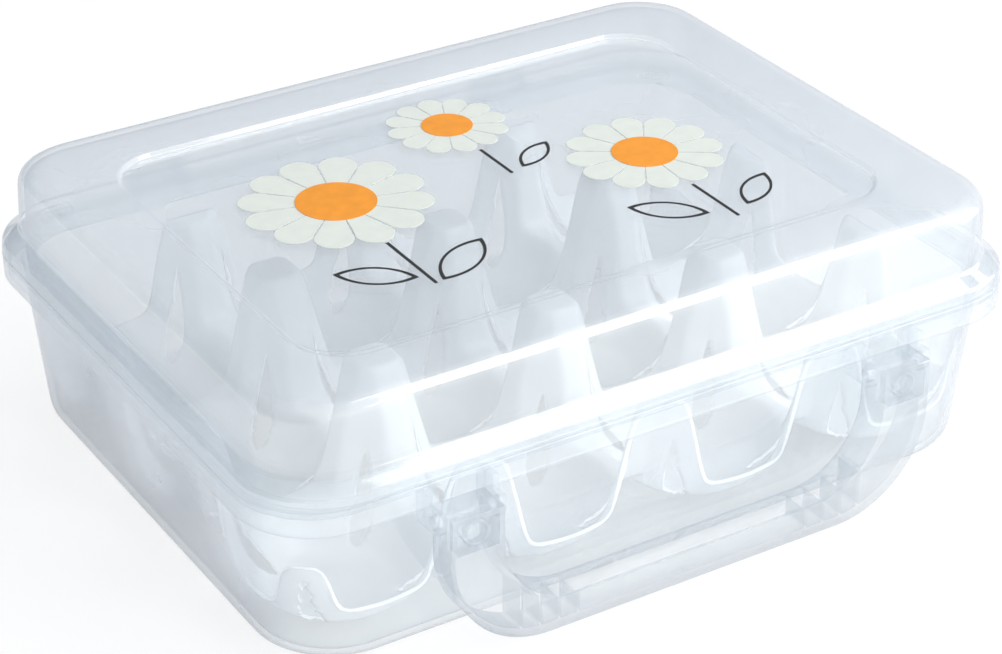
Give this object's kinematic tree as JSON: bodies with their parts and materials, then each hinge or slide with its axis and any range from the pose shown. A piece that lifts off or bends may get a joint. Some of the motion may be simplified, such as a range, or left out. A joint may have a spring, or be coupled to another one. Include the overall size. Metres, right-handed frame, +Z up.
{
  "type": "egg keeper with flip lid",
  "caption": "Lidded translucent plastic egg keeper with a lift-out cup tray, a rear-hinged lid with a sunk panel and a swinging front carry handle.",
  "frame": {"origin": "middle of the flat underside of the base", "axes": "+X along the front to the right, +Z up, -Y towards the front with the handle"},
  "size_m": [0.246, 0.2077, 0.08],
  "materials": {
    "clear_base": "glossy translucent natural polypropylene",
    "clear_lid": "glossy translucent natural polypropylene",
    "milky_tray": "satin translucent natural polypropylene",
    "clear_handle": "glossy translucent natural polypropylene",
    "cream_ink": "printed ink",
    "orange_ink": "printed ink",
    "black_ink": "printed ink"
  },
  "bodies": {
    "base": {"base_tub": "clear_base"},
    "lid": {"lid_cover": "clear_lid", "print_petals": "cream_ink", "print_hearts": "orange_ink", "print_stems": "black_ink"},
    "tray": {"egg_tray": "milky_tray"},
    "handle": {"carry_handle": "clear_handle"}
  },
  "joints": [
    {"name": "lid_flip", "type": "hinge", "parent": "base", "child": "lid", "pos_m": [0, 0.0996, 0.054], "axis": [-1, 0, 0], "range_deg": [0, 180]},
    {"name": "handle_swing", "type": "hinge", "parent": "base", "child": "handle", "pos_m": [0, -0.0982, 0.0438], "axis": [-1, 0, 0], "range_deg": [0, 150]},
    {"name": "tray_lift", "type": "slide", "parent": "base", "child": "tray", "axis": [0, 0, 1], "range_m": [0, 0.02]}
  ]
}
